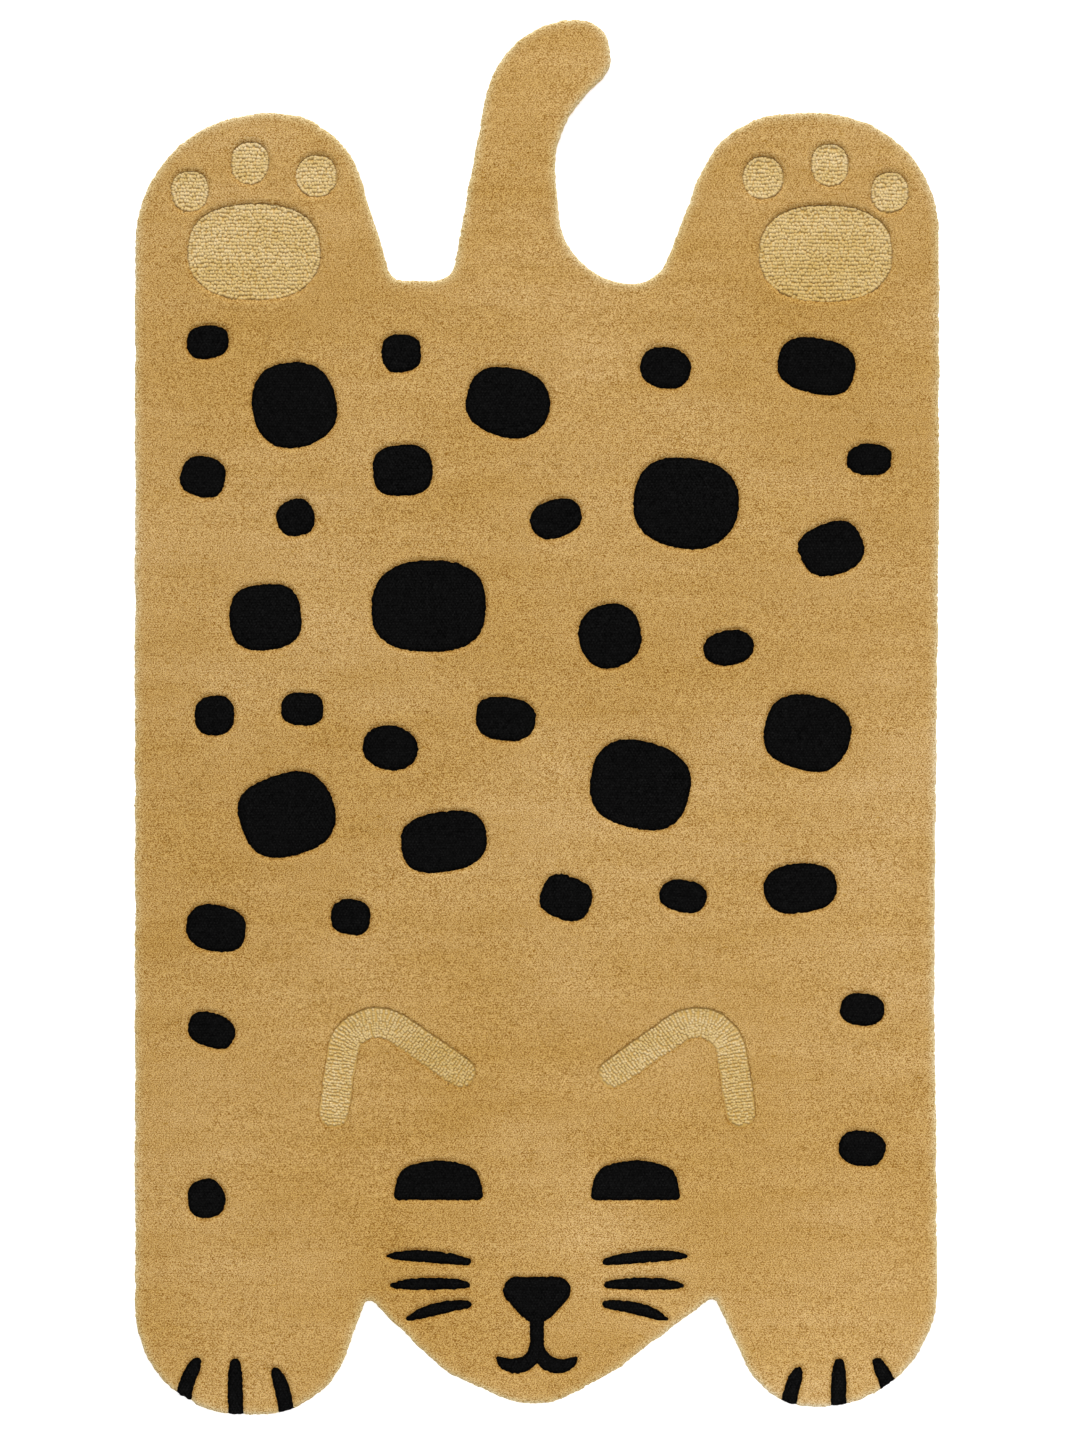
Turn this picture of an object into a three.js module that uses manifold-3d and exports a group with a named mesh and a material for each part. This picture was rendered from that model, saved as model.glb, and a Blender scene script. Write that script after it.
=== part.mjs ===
// A cat shaped rug: one hand-tufted piece of wool pile, lying flat, with its face at the near end.
// Units are millimetres. +X is to the right, +Y runs from the chin to the tail and +Z is up.
// The origin is on the floor, under the middle of the rug's box.

import * as THREE from 'three';
import { mergeVertices } from 'three/addons/utils/BufferGeometryUtils.js';
import Module from 'manifold-3d';

const wasm = await Module();
wasm.setup();

// The rug's own size
const rugWidth = 980;
const rugLength = 1700;
const rugThickness = 13;

// The pile's top edge is rounded over
const edgeRound = 4;
const edgeRoundSteps = 3;

// How deep the low areas are, and how far in their walls slope. The ears lie only a little low.
const pawLow = { depth: 3, wallRun: 2 };
const earLow = { depth: 1.5, wallRun: 1 };

// Steps in each rounded corner, in each pad or toe and in each end of an ear band
const cornerSteps = 6;
const padSteps = 40;
const toeSteps = 20;
const bandEndSteps = 8;

const halfWidth = rugWidth / 2;
const halfLength = rugLength / 2;
const hindReach = 736;

// The four legs. toeY is where the foot ends. toeX and rootX are the inner edge's distances from the
// middle line, at the foot's end and where it meets the body, and the rounds are the corners' radii.
const legs = {
  hindRight: {
    side: 1, toeY: hindReach, outerRound: 145,
    toeX: 227, toeRound: 120, rootX: 148, rootY: 528, rootRound: 48,
  },
  hindLeft: {
    side: -1, toeY: hindReach, outerRound: 160,
    toeX: 239, toeRound: 110, rootX: 177, rootY: 532, rootRound: 20,
  },
  frontLeft: {
    side: -1, toeY: -halfLength, outerRound: 130,
    toeX: 260, toeRound: 110, rootX: 207, rootY: -706, rootRound: 8,
  },
  frontRight: {
    side: 1, toeY: -halfLength + 9, outerRound: 145,
    toeX: 279, toeRound: 92, rootX: 216, rootY: -705, rootRound: 8,
  },
};

// The tail's corners, from its right root round the curled tip to its left root
const tailCorners = [
  { x: 35, y: 528, round: 92 },
  { x: 16, y: 715, round: 130 },
  { x: 90, y: 790, round: 34 },
  { x: 86, y: halfLength, round: 38 },
  { x: -45, y: halfLength, round: 113 },
  { x: -104, y: 532, round: 25 },
];

// The chin's corners, from left to right
const chinCorners = [
  { x: -114, y: -797, round: 150 },
  { x: 0, y: -849, round: 100 },
  { x: 100, y: -793, round: 150 },
];

// The right side draws in a little below its shoulder
const rightSideCorners = [
  { x: halfWidth - 6, y: -300, round: 8000 },
  { x: halfWidth, y: 250, round: 6000 },
];

// A paw print lies in each hind foot: one pad with three toes past it
const pawPrints = [
  { side: -1, x: -345, y: 567 },
  { side: 1, x: 352, y: 565 },
];
const pad = { halfX: 82, halfY: 60, fullness: 2.4 };
const toes = [
  { out: 78, up: 74, halfX: 24, halfY: 26 },
  { out: 5, up: 108, halfX: 24, halfY: 27 },
  { out: -76, up: 92, halfX: 26, halfY: 27 },
];
const toeFullness = 2.2;

// Each ear is a bent band: its outer foot, its bend and its inner foot, in distances from the middle line
const earSides = [-1, 1];
const earCorners = [
  { out: 248, y: -482 },
  { out: 227, y: -340 },
  { out: 93, y: -434 },
];
const earBendRound = 43;
const earHalfWidth = 19;

// Two points of a line this near each other are one
const samePoint = 0.01;

// The arc that rounds one corner: its middle, its ends and which way it turns
function cornerArc(before, corner, after) {
  const here = new THREE.Vector2(corner.x, corner.y);
  const toBefore = new THREE.Vector2(before.x, before.y).sub(here).normalize();
  const toAfter = new THREE.Vector2(after.x, after.y).sub(here).normalize();
  const halfAngle = Math.acos(toBefore.dot(toAfter)) / 2;
  const run = corner.round / Math.tan(halfAngle);
  const inward = toBefore.clone().add(toAfter).normalize();
  const centre = inward.multiplyScalar(corner.round / Math.sin(halfAngle)).add(here);
  const start = toBefore.clone().multiplyScalar(run).add(here);
  const end = toAfter.clone().multiplyScalar(run).add(here);
  const clockwise = toBefore.cross(toAfter) > 0;
  return { centre, start, end, clockwise, radius: corner.round };
}

// Adds a corner's arc to a path. Where the path already has a stretch, a straight line joins the two.
function addRoundedCorner(path, before, corner, after) {
  const { centre, start, end, clockwise, radius } = cornerArc(before, corner, after);
  const startAngle = Math.atan2(start.y - centre.y, start.x - centre.x);
  const endAngle = Math.atan2(end.y - centre.y, end.x - centre.x);
  path.absarc(centre.x, centre.y, radius, startAngle, endAngle, clockwise);
}

function legCorners(leg) {
  return [
    { x: leg.side * halfWidth, y: leg.toeY, round: leg.outerRound },
    { x: leg.side * leg.toeX, y: leg.toeY, round: leg.toeRound },
    { x: leg.side * leg.rootX, y: leg.rootY, round: leg.rootRound },
  ];
}

// The whole outline, anticlockwise from the right hind foot
function rugOutline() {
  const corners = [
    ...legCorners(legs.hindRight),
    ...tailCorners,
    ...legCorners(legs.hindLeft).reverse(),
    ...legCorners(legs.frontLeft),
    ...chinCorners,
    ...legCorners(legs.frontRight).reverse(),
    ...rightSideCorners,
  ];
  const outline = new THREE.Shape();
  const count = corners.length;
  corners.forEach((corner, index) => {
    const before = corners[(index + count - 1) % count];
    const after = corners[(index + 1) % count];
    addRoundedCorner(outline, before, corner, after);
  });
  outline.closePath();
  return outline;
}

// A rounded blob: an ellipse whose fullness over 2 squares it up a little
function blobOutline(x, y, halfX, halfY, fullness, steps) {
  const power = 2 / fullness;
  const points = [];
  for (let step = 0; step < steps; step += 1) {
    const angle = (step / steps) * 2 * Math.PI;
    const across = Math.cos(angle);
    const along = Math.sin(angle);
    points.push(new THREE.Vector2(
      x + halfX * Math.sign(across) * Math.abs(across) ** power,
      y + halfY * Math.sign(along) * Math.abs(along) ** power,
    ));
  }
  return new THREE.Shape(points);
}

function pawPrintOutlines(print) {
  const padOutline = blobOutline(print.x, print.y, pad.halfX, pad.halfY, pad.fullness, padSteps);
  const toeOutlines = toes.map((toe) => blobOutline(
    print.x + print.side * toe.out, print.y + toe.up, toe.halfX, toe.halfY, toeFullness, toeSteps,
  ));
  return [padOutline, ...toeOutlines];
}

// The middle line of an ear band, from its outer foot round the bend to its inner foot
function earMiddleLine(side) {
  const [outerFoot, bend, innerFoot] = earCorners.map((corner) => ({
    x: side * corner.out, y: corner.y, round: earBendRound,
  }));
  const bendStart = cornerArc(outerFoot, bend, innerFoot).start;
  const line = new THREE.Path();
  line.moveTo(outerFoot.x, outerFoot.y);
  line.lineTo(bendStart.x, bendStart.y);
  addRoundedCorner(line, outerFoot, bend, innerFoot);
  line.lineTo(innerFoot.x, innerFoot.y);
  const points = line.getPoints(cornerSteps);
  return points.filter((point, index) => index === 0 || point.distanceTo(points[index - 1]) > samePoint);
}

// Widens a line into a band with round ends
function bandOutline(line, bandHalfWidth) {
  const last = line.length - 1;
  const direction = (index) => {
    const from = line[Math.max(index - 1, 0)];
    const to = line[Math.min(index + 1, last)];
    return to.clone().sub(from).normalize();
  };
  const offset = (index, turn) => {
    const out = direction(index).rotateAround(new THREE.Vector2(), turn);
    return out.multiplyScalar(bandHalfWidth).add(line[index]);
  };
  const quarter = Math.PI / 2;
  const points = [];
  for (let index = 0; index <= last; index += 1) {
    points.push(offset(index, -quarter));
  }
  for (let step = 1; step < bandEndSteps; step += 1) {
    points.push(offset(last, -quarter + (step / bandEndSteps) * Math.PI));
  }
  for (let index = last; index >= 0; index -= 1) {
    points.push(offset(index, quarter));
  }
  for (let step = 1; step < bandEndSteps; step += 1) {
    points.push(offset(0, quarter + (step / bandEndSteps) * Math.PI));
  }
  return new THREE.Shape(points);
}

function toManifold(geometry) {
  geometry.deleteAttribute('normal');
  geometry.deleteAttribute('uv');
  const merged = mergeVertices(geometry);
  return new wasm.Manifold(new wasm.Mesh({
    numProp: 3,
    vertProperties: merged.attributes.position.array,
    triVerts: Uint32Array.from(merged.index.array),
  }));
}

function toGeometry(solid) {
  const mesh = solid.getMesh();
  const geometry = new THREE.BufferGeometry();
  geometry.setAttribute('position', new THREE.BufferAttribute(mesh.vertProperties, 3));
  geometry.setIndex(new THREE.BufferAttribute(mesh.triVerts, 1));
  geometry.computeVertexNormals();
  return geometry;
}

// The slab of pile. It is extruded with the same round below the floor, which is then cut away.
function pileSlab() {
  const slab = new THREE.ExtrudeGeometry(rugOutline(), {
    curveSegments: cornerSteps,
    depth: rugThickness - edgeRound,
    bevelThickness: edgeRound,
    bevelSize: edgeRound,
    bevelOffset: -edgeRound,
    bevelSegments: edgeRoundSteps,
  });
  const margin = 20;
  const belowFloor = new THREE.BoxGeometry(rugWidth + margin, rugLength + margin, margin);
  belowFloor.translate(0, 0, -margin / 2);
  return toManifold(slab).subtract(toManifold(belowFloor));
}

// What is cut out above a low area. Its walls slope and reach the given outline at the rug's top.
function lowAreaCutter(outline, low) {
  const cutter = new THREE.ExtrudeGeometry(outline, {
    depth: low.depth,
    bevelThickness: 2 * low.depth,
    bevelSize: 2 * low.wallRun,
    bevelOffset: -low.wallRun,
    bevelSegments: 1,
  });
  cutter.translate(0, 0, rugThickness - low.depth + 2 * low.depth);
  return toManifold(cutter);
}

function rugSolid() {
  const pawOutlines = pawPrints.flatMap(pawPrintOutlines);
  const earOutlines = earSides.map((side) => bandOutline(earMiddleLine(side), earHalfWidth));
  const cutters = [
    ...pawOutlines.map((outline) => lowAreaCutter(outline, pawLow)),
    ...earOutlines.map((outline) => lowAreaCutter(outline, earLow)),
  ];
  return cutters.reduce((solid, cutter) => solid.subtract(cutter), pileSlab());
}

const tanWool = new THREE.MeshStandardMaterial({ color: 0xc19a5a, roughness: 0.95, metalness: 0 });

const rug = new THREE.Mesh(toGeometry(rugSolid()), tanWool);
rug.name = 'rug';

const catRug = new THREE.Group();
catRug.add(rug);

export default catRug;
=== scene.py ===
"""A cat shaped rug of hand-tufted wool that lies flat.

Its cut pile is tan and black, its paw prints and ears are low loop pile, and its back is canvas.
"""

import math

import bpy
import numpy as np
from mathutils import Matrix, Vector
from mathutils.geometry import tessellate_polygon


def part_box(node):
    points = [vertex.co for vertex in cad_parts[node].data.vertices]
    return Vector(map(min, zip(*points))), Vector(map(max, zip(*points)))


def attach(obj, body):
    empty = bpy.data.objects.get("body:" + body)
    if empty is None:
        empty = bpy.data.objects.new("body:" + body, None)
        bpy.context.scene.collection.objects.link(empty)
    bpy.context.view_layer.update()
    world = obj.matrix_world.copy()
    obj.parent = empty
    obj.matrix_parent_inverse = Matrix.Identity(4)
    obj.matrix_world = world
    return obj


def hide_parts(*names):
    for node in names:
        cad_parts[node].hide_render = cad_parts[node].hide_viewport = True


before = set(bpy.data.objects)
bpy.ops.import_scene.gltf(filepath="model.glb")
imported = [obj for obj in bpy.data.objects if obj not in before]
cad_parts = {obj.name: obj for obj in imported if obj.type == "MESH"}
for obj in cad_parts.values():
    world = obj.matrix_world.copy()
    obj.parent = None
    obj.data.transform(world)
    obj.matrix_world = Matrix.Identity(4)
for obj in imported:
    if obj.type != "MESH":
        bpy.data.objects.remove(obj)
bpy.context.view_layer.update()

MM = 0.001
FULL_TURN = 2 * math.pi

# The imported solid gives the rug's size, and its flat faces give the outlines
RUG = "rug"
RUG_LOW, RUG_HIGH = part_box(RUG)
RUG_TOP = RUG_HIGH.z

# The layers of the rug, from the floor up
CANVAS_THICKNESS = 1.6 * MM
CANVAS_INSET = 1.2 * MM
CANVAS_STEP = 4 * MM
PILE_FOOT = 1.0 * MM
PAW_LOOP_TOP = RUG_TOP - 3.2 * MM
EAR_LOOP_TOP = RUG_TOP - 1.2 * MM
LOOP_RISE = 1.75 * MM

# The pile's side round a low area reaches down to the cloth of the paw prints, which is the lower one
SIDE_FOOT = PAW_LOOP_TOP - LOOP_RISE

# A face of the solid is at a height if its corners are this near to it
LEVEL_TOLERANCE = 0.02 * MM

# The cut pile's surface is a lattice of tuft tips and of the hollows between them
PILE_SPACING = 2.27 * MM
PILE_JITTER = 0.2
TUFT_DEPTH = 1.0 * MM
TUFT_DEPTH_SPREAD = 0.14
TIP_SPREAD = 0.14 * MM

# The pile parts along its rows where a noise is within the width of zero, in some stretches more than in
# others. Single specks of it part too. A parting sinks the pile and is darkened with painted shade.
PARTING_DEPTH = 0.6 * MM
PARTING_SCALES = (13 * MM, 5 * MM)
PARTING_WIDTH = 0.13
PARTING_STRETCHES = (60 * MM, 22 * MM)
PARTING_CONTRAST = 0.9
PARTING_AMOUNT = 0.45
PARTING_ON_TIPS = 0.2
SPECK_SHARE = 0.04

# Its surface is a little uneven, broadly and, by a share of that, finely. The sink lowers all of it.
UNEVEN_HEIGHT = 0.35 * MM
UNEVEN_SCALES = (90 * MM, 40 * MM)
UNEVEN_FINE_SCALES = (22 * MM, 11 * MM)
UNEVEN_FINE_SHARE = 0.2
UNEVEN_SINK = 0.6

# The rim is rounded over, and a painted sheen makes it paler near its edge. The least share keeps the very
# edge from dropping away.
EDGE_ROUND = 4.0 * MM
EDGE_SHARE_LEAST = 0.05
RIM_FADE = 4.0 * MM

# Hand shears leave every edge of the pile a little ragged, and the rug's own edge wavers too
EDGE_STEP = 2.7 * MM
EDGE_RAGGED = 0.4 * MM
EDGE_WAVER = 0.8 * MM
EDGE_WAVER_SCALE = 17 * MM

# Shears bevel the pile on both sides of a colour change, round a paw print and, a little, round an ear.
# A shading is how much darker the painted shade makes the bevel at its bottom.
CARVE_DEPTH = 2.2 * MM
CARVE_WIDTH = 4.5 * MM
CARVE_SHADING = 0.55
PAW_CARVE_DEPTH = 2.2 * MM
PAW_CARVE_WIDTH = 4.5 * MM
PAW_SHADE_WIDTH = 3.4 * MM
PAW_SHADING = 0.3
EAR_CARVE_DEPTH = 0.8 * MM
EAR_CARVE_WIDTH = 2.5 * MM
EAR_SHADING = 0.6
LOW_INSET = 0.4 * MM

# Where the pile stops, its side hangs down in levels: the share of the way down, and how light it is, as a
# painted shade that darkens the side towards its foot. Each level lies a little further out on the map, and
# the last one turns in under the pile.
WALL_LEVELS = ((0.3, 0.9), (0.65, 0.75), (1.0, 0.45))
WALL_BULGE = 0.9 * MM
WALL_TURN_IN = 1.8 * MM
WALL_MAP_STEP = 0.3 * MM

# Distances to an outline are worked out this far from it, and stay the same beyond
REACH = 14 * MM

# No length is divided by less than this
LEAST_LENGTH = 1e-9

# Loop pile: its rows, the yarn of each loop, and how much a loop strays, turns (in radians) and varies
ROW_PITCH = 4.35 * MM
EAR_ROW_PITCH = 3.9 * MM
LOOP_PITCH = 3.2 * MM
LOOP_LENGTH = 4.4 * MM
PAW_YARN_HALF_WIDTH = 2.7 * MM
EAR_YARN_HALF_WIDTH = 1.75 * MM
YARN_HALF_THICKNESS = 1.1 * MM
LOOP_RINGS = 5
LOOP_SIDES = 5
LOOP_WANDER = 0.5 * MM
LOOP_TURN = 0.18
LOOP_SIZE_SPREAD = 0.22
ROW_WAVER = 1.1 * MM
ROW_WAVER_SCALES = (11 * MM, 14 * MM)
EDGE_ROW_INSET = 3.3 * MM
INNER_ROW_INSET = 5.4 * MM
EAR_ROW_INSET = 3.0 * MM
LOOP_CLOTH_MARGIN = 1.5 * MM

# An ear's middle line, in millimetres from the rug's middle: outer foot, bend and inner foot
EAR_CORNERS = ((248, -482), (227, -340), (93, -434))
EAR_BEND_ROUND = 43
EAR_BEND_STEPS = 16
EAR_HALF_WIDTH = 19

# How many places across an ear are tried for the two ends of a row
EAR_ROW_TRIALS = 81

# Loose fibres round the rim. Their fan is a spread in radians, their tilt and curl are spreads as shares of
# their length, and their taper is the share of their radius that is gone at the tip.
RIM_FIBRES = 1500
FIBRE_RINGS = 4
FIBRE_SIDES = 3
FIBRE_RADIUS = 0.14 * MM
FIBRE_LENGTHS = (2.5 * MM, 7 * MM)
FIBRE_HEIGHTS = (3 * MM, RUG_TOP - 4 * MM)
FIBRE_INSET = 1 * MM
FIBRE_FAN = 0.7
FIBRE_TILT = 0.25
FIBRE_CURL = 0.35
FIBRE_TAPER = 0.6

# Spots on the back: how many, their radii, and where they may lie, in metres, which isn't on the head. A
# higher power makes more of them small.
SPOT_SEED = 7
SPOT_COUNT = 34
SPOT_SMALLEST = 23 * MM
SPOT_LARGEST = 63 * MM
SPOT_POWER = 2.6
SPOT_TRIES = 5000
SPOT_CHOICES = 60
SPOT_GAP = 20 * MM
SPOT_AREA = ((-0.47, -0.6), (0.47, 0.46))
HEAD_AREA = ((-0.32, -0.86), (0.32, -0.31))

# The shape of a spot: its points, the ranges that its stretch and its squareness are drawn from, its
# waver and the most that it turns either way, in radians
SPOT_POINTS = 48
SPOT_STRETCH = (-0.03, 0.2)
SPOT_SQUARENESS = (2.2, 2.7)
SPOT_WAVER = 0.05
SPOT_HARMONICS = (2, 3, 4, 5)
SPOT_TURN = 0.35

# Strokes of the face and the toes, in millimetres: where each starts and ends, and its bow as a share of
# its length. Their ends are shares of their half width. Those on the left mirror the ones listed.
WHISKERS = (
    ((84, -664), (182, -657), 0.03),
    ((86, -692), (178, -693), 0.02),
    ((84, -716), (158, -734), 0.05),
)
WHISKER_HALF_WIDTH = 7.6
WHISKER_ENDS = (0.6, 0.3)
TOE_STROKES = (
    ((318, -799), (306, -860), -0.06),
    ((368, -788), (367, -860), 0.0),
    ((415, -787), (432, -845), 0.07),
)
TOE_HALF_WIDTH = 9.5
TOE_ENDS = (0.7, 0.9)

# The lids and the nose, in millimetres: x and y of each corner and the radius that rounds it
LID_CORNERS = ((64, -589, 6), (176, -589, 6), (168, -549, 26), (120, -538, 90), (72, -549, 26))
NOSE_CORNERS = ((-64, -682, 17), (64, -682, 17), (0, -750, 26))

# The stem under the nose, and the mouth's lobe on the right, an arc from one angle to the other in degrees
STEM_LINE = ((0, -728), (0, -768))
STEM_HALF_WIDTH = 8.5
LOBE_MIDDLE = (27, -764)
LOBE_RADIUS = 27
LOBE_ANGLES = (175, 318)
LOBE_HALF_WIDTH = 9.5
LOBE_ENDS = (0.9, 0.35)
LOBE_POINTS = 14

# The power that a stroke swells by towards its middle: a lower one makes it fuller near its ends
STROKE_FULLNESS = 0.6

# The tan pile is made in strips that run the length of the rug, each laid out on its map in folds
TAN_STRIPS = ("tan_pile_left", "tan_pile_middle", "tan_pile_right")
BLACK_PIECES = ("black_spots", "black_face", "black_toe_strokes")
MAP_FOLDS = 2
MAP_MARGIN = 0.012

# The map of loop pile has the yarn loops up to this share of its height and their cloth above it
LOOPS_ON_MAP = 0.9
MAP_EDGE = 0.01

# The canvas's map: each part's lower corner and its width and height
UNDERSIDE_ON_MAP = ((0.01, 0.01), (0.88, 0.98))
TOP_ON_MAP = ((0.91, 0.01), (0.04, 0.98))
RIM_ON_MAP = ((0.96, 0.01), (0.03, 0.98))

# A map of tubes has a square cell for each, with this much of it left free at every side
CELL_MARGIN = 0.12

# Powers for red, green and blue that turn a shade of the tan and the loop wool warmer as it darkens
WARM_SHADE = (1, 1.5, 3.6)

# Noises in the wool and the canvas: the scale, which is higher for a finer one, the detail and the stretch
FIBRE_NOISE = (720, 1, (1, 1.7, 1))
PARTING_NOISE = (340, 1, (0.25, 1, 1))
STREAK_NOISE = (9, 2, (0.6, 3.4, 1))
PATCH_NOISE = (3.2, 2)
BUMP_NOISE = (1100, 2)
WEFT_NOISE = (420, 1, (0.06, 1, 1))
WARP_NOISE = (420, 1, (1, 0.06, 1))
CANVAS_NOISE = (12, 3)

# The ranges of a noise that go from dark to clear, how dark the darkest are, and the partings' share of how
# dark the fibres are. The partings' dark is painted shade.
FIBRE_RANGE = (0.40, 0.54)
PARTING_RANGE = (0.22, 0.34)
PARTING_SHARE = 0.45
STREAK_DARKEST = 0.92
PATCH_DARKEST = 0.86
THREAD_DARKEST = 0.7

# Wool and canvas shine very little. A bump is its strength and its height.
WOOL_ROUGHNESS = 0.95
CANVAS_ROUGHNESS = 0.92
CLOTH_SHEEN = 0.1
SHEEN_ROUGHNESS = 0.6
SPECULAR_LEVEL = 0.03
WOOL_BUMP = (0.35, 0.5 * MM)
CANVAS_BUMP = (0.5, 0.4 * MM)

# The canvas's darker and lighter colour
CANVAS_DARK = (0.60, 0.54, 0.42)
CANVAS_LIGHT = (0.70, 0.635, 0.505)

# The pile's openness goes from 0 in a hollow to 1 on a tip and sets the painted shade that darkens the
# wool towards its hollows. The wool has its middle colour between the two, and the loose fibres have one
# openness throughout.
MIDDLE_OPENNESS = 0.45
FIBRE_OPENNESS = 0.8

# The tone of the cloth under the loops, in the middle of the yarns' tones
CLOTH_TONE = 0.5

SEED = 29
rng = np.random.default_rng(SEED)


def smooth_step(value):
    share = np.clip(value, 0, 1)
    return share * share * (3 - 2 * share)


def value_noise(points, scales, seed):
    """Smooth noise from -1 to 1, with one scale in metres for each axis."""
    size = 256
    table = np.random.default_rng(seed).uniform(-1, 1, (size, size))
    place = points / np.asarray(scales)
    cell = np.floor(place).astype(int)
    share = smooth_step(place - cell)
    column, row = (cell % (size - 1)).T
    low = table[row, column] * (1 - share[:, 0]) + table[row, column + 1] * share[:, 0]
    high = table[row + 1, column] * (1 - share[:, 0]) + table[row + 1, column + 1] * share[:, 0]
    return low * (1 - share[:, 1]) + high * share[:, 1]


def turned(directions, angles):
    """Flat directions, each turned anticlockwise by its angle."""
    cos, sin = np.cos(angles), np.sin(angles)
    x, y = directions.T
    return np.stack([x * cos - y * sin, x * sin + y * cos], 1)


def leftward(directions):
    """The flat directions a quarter turn to the left of some directions."""
    return np.stack([-directions[..., 1], directions[..., 0]], -1)


def flat(directions, height=0.0):
    """Flat directions with a height added, as one row for each tube."""
    return np.column_stack([directions, np.broadcast_to(height, len(directions))])[:, None]


# Outlines

def flat_face_outlines(node, height):
    """The closed border lines of a node's faces that lie flat at one height, longest first."""
    mesh = node.data
    mesh.calc_loop_triangles()
    points = np.empty(len(mesh.vertices) * 3)
    mesh.vertices.foreach_get("co", points)
    corners = np.empty(len(mesh.loop_triangles) * 3, int)
    mesh.loop_triangles.foreach_get("vertices", corners)
    micron = 0.001 * MM
    in_microns = np.round(points.reshape(-1, 3) / micron).astype(int)
    places, merged = np.unique(in_microns, axis=0, return_inverse=True)
    triangles = merged.ravel()[corners.reshape(-1, 3)]
    is_level = (np.abs(places[triangles][:, :, 2] * micron - height) < LEVEL_TOLERANCE).all(1)
    edges, _ = border_edges(triangles[is_level])
    following = dict(edges.tolist())
    outlines = []
    while following:
        start, here = following.popitem()
        chain = [start]
        while here != start:
            chain.append(here)
            here = following.pop(here)
        outlines.append(anticlockwise(smoothed(places[chain][:, :2] * micron)))
    return sorted(outlines, key=outline_length, reverse=True)


def border_edges(triangles):
    """The directed edges that only one triangle has, and which triangle that is."""
    edges = np.concatenate([triangles[:, pair] for pair in ((0, 1), (1, 2), (2, 0))])
    owner = np.tile(np.arange(len(triangles)), 3)
    size = int(edges.max()) + 1
    forward = edges[:, 0].astype(np.int64) * size + edges[:, 1]
    backward = edges[:, 1].astype(np.int64) * size + edges[:, 0]
    alone = ~np.isin(forward, backward)
    return edges[alone], owner[alone]


def smoothed(polygon, rounds=2):
    """Cuts every corner of a polygon at a quarter of its sides, so that its short facets become a curve."""
    for _ in range(rounds):
        after = np.roll(polygon, -1, axis=0)
        first_quarter, last_quarter = 0.75 * polygon + 0.25 * after, 0.25 * polygon + 0.75 * after
        polygon = np.stack([first_quarter, last_quarter], 1).reshape(-1, 2)
    return polygon


def outline_length(polygon):
    return float(np.linalg.norm(polygon - np.roll(polygon, -1, axis=0), axis=1).sum())


def anticlockwise(polygon):
    after = np.roll(polygon, -1, axis=0)
    area = (polygon[:, 0] * after[:, 1] - polygon[:, 1] * after[:, 0]).sum() / 2
    return polygon if area > 0 else polygon[::-1]


def spaced_along(line, pitch, inset=0.0, closed=False):
    """Evenly spaced places along a line, moved to its left by an inset, and the direction at each."""
    starts = line if closed else line[:-1]
    run = (np.roll(line, -1, axis=0) if closed else line[1:]) - starts
    lengths = np.linalg.norm(run, axis=1)
    before = np.concatenate([[0], np.cumsum(lengths)])
    count = round(before[-1] / pitch)
    at = (np.arange(count) + 0.5) / count * before[-1]
    index = np.searchsorted(before, at) - 1
    direction = run[index] / lengths[index, None]
    places = starts[index] + direction * (at - before[index])[:, None]
    return places + inset * leftward(direction), direction


def ragged(polygon, inset=0.0, waver=0.0):
    """An outline as it is shorn by hand, in short uneven steps."""
    edge, direction = spaced_along(polygon, EDGE_STEP, inset, closed=True)
    offset = rng.normal(0, EDGE_RAGGED, len(edge)) + waver * value_noise(edge, (EDGE_WAVER_SCALE,) * 2, 9)
    return edge + leftward(direction) * offset[:, None]


def edge_distance(points, polygon):
    """How far inside a polygon each point is, up to REACH either way, and its edge's nearest point."""
    squared = np.full(len(points), REACH ** 2)
    nearest = points.copy()
    inside = np.zeros(len(points), bool)
    x, y = points.T
    by_x, by_y = np.argsort(x), np.argsort(y)
    sorted_x, sorted_y = x[by_x], y[by_y]
    for start, end in zip(polygon, np.roll(polygon, -1, axis=0)):
        along = end - start
        low, high = np.minimum(start, end) - REACH, np.maximum(start, end) + REACH
        near = by_x[slice(*np.searchsorted(sorted_x, (low[0], high[0])))]
        near = near[(y[near] > low[1]) & (y[near] < high[1])]
        offset = points[near] - start
        share = np.clip(offset @ along / (along @ along), 0, 1)
        gap = offset - share[:, None] * along
        distance = np.einsum("ij,ij->i", gap, gap)
        closer = distance < squared[near]
        squared[near[closer]] = distance[closer]
        nearest[near[closer]] = (points[near] - gap)[closer]
        crosses = by_y[slice(*np.searchsorted(sorted_y, sorted((start[1], end[1]))))]
        if len(crosses):
            meets = start[0] + (y[crosses] - start[1]) * along[0] / along[1]
            inside[crosses] ^= x[crosses] < meets
    return np.where(inside, 1, -1) * np.sqrt(squared), nearest


def union_distance(points, polygons):
    """As edge_distance, for several polygons that may overlap."""
    best = np.full(len(points), -REACH)
    nearest = points.copy()
    for polygon in polygons:
        low, high = polygon.min(0) - REACH, polygon.max(0) + REACH
        near = np.flatnonzero(((points > low) & (points < high)).all(1))
        distance, foot = edge_distance(points[near], polygon)
        deeper = distance > best[near]
        best[near[deeper]] = distance[deeper]
        nearest[near[deeper]] = foot[deeper]
    return best, nearest


def corner_arc(corner, before, after, radius, steps):
    """Points on the arc that rounds a corner between its two neighbours."""
    to_before = (before - corner) / np.linalg.norm(before - corner)
    to_after = (after - corner) / np.linalg.norm(after - corner)
    half = math.acos(float(to_before @ to_after)) / 2
    inward = (to_before + to_after) / np.linalg.norm(to_before + to_after)
    centre = corner + inward * radius / math.sin(half)
    start = corner + to_before * radius / math.tan(half) - centre
    end = corner + to_after * radius / math.tan(half) - centre
    sweep = math.atan2(start[0] * end[1] - start[1] * end[0], float(start @ end))
    angles = np.linspace(0, sweep, steps + 1)[:, None]
    return centre + np.cos(angles) * start + np.sin(angles) * leftward(start)


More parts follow.
